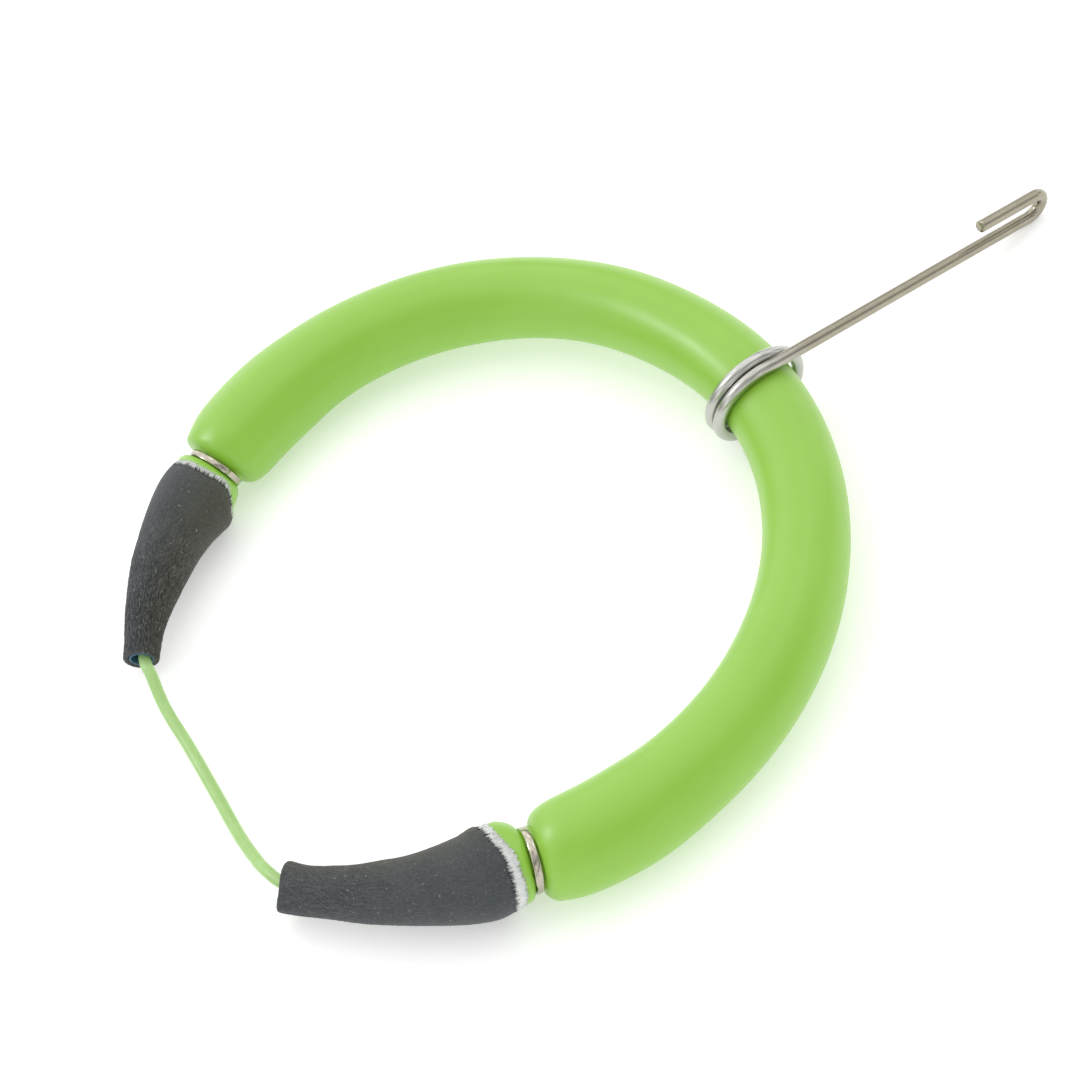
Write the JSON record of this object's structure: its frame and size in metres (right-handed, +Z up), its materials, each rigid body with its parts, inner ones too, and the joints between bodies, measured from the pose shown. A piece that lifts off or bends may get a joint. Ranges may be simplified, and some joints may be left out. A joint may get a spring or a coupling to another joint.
{
  "type": "flexible ring with wire hanger",
  "caption": "Flexible C-shaped ring with tapered sleeves on its ends, a slack cord joining the sleeves, and a bent wire hanger coiled loosely round the tube so that it swings.",
  "frame": {"origin": "middle of the bottom of the object's box as it lies on a level surface, measured without the free cord", "axes": "+Z up, square to the surface the ring lies on; +Y from the ring's open end towards its wire hanger; +X to the right when looking along +Y from above"},
  "size_m": [0.1828, 0.2574, 0.0281],
  "materials": {
    "green_elastomer": "satin",
    "foam": "matte",
    "white_plastic": "matte",
    "steel": "polished",
    "black_suede": "matte",
    "white_fleece": "matte",
    "blue_hose": "satin",
    "green_cord": "satin"
  },
  "bodies": {
    "ring": {"ring_tube": "green_elastomer", "foam_core": "foam", "end_plug_left": "white_plastic", "end_plug_right": "white_plastic", "ferrule_left": "steel", "ferrule_right": "steel", "sleeve_left": "black_suede", "sleeve_right": "black_suede", "sleeve_lining_left": "white_fleece", "sleeve_lining_right": "white_fleece", "liner_hose_left": "blue_hose", "liner_hose_right": "blue_hose", "cord": "green_cord", "cord_knot_left": "green_cord", "cord_knot_right": "green_cord"},
    "hanger": {"wire_hanger": "steel"}
  },
  "joints": [
    {"name": "hanger_swing", "type": "hinge", "parent": "ring", "child": "hanger", "pos_m": [0.00752, 0.03576, 0.01422], "axis": [0.9914, -0.0027, -0.1306], "continuous": true}
  ]
}
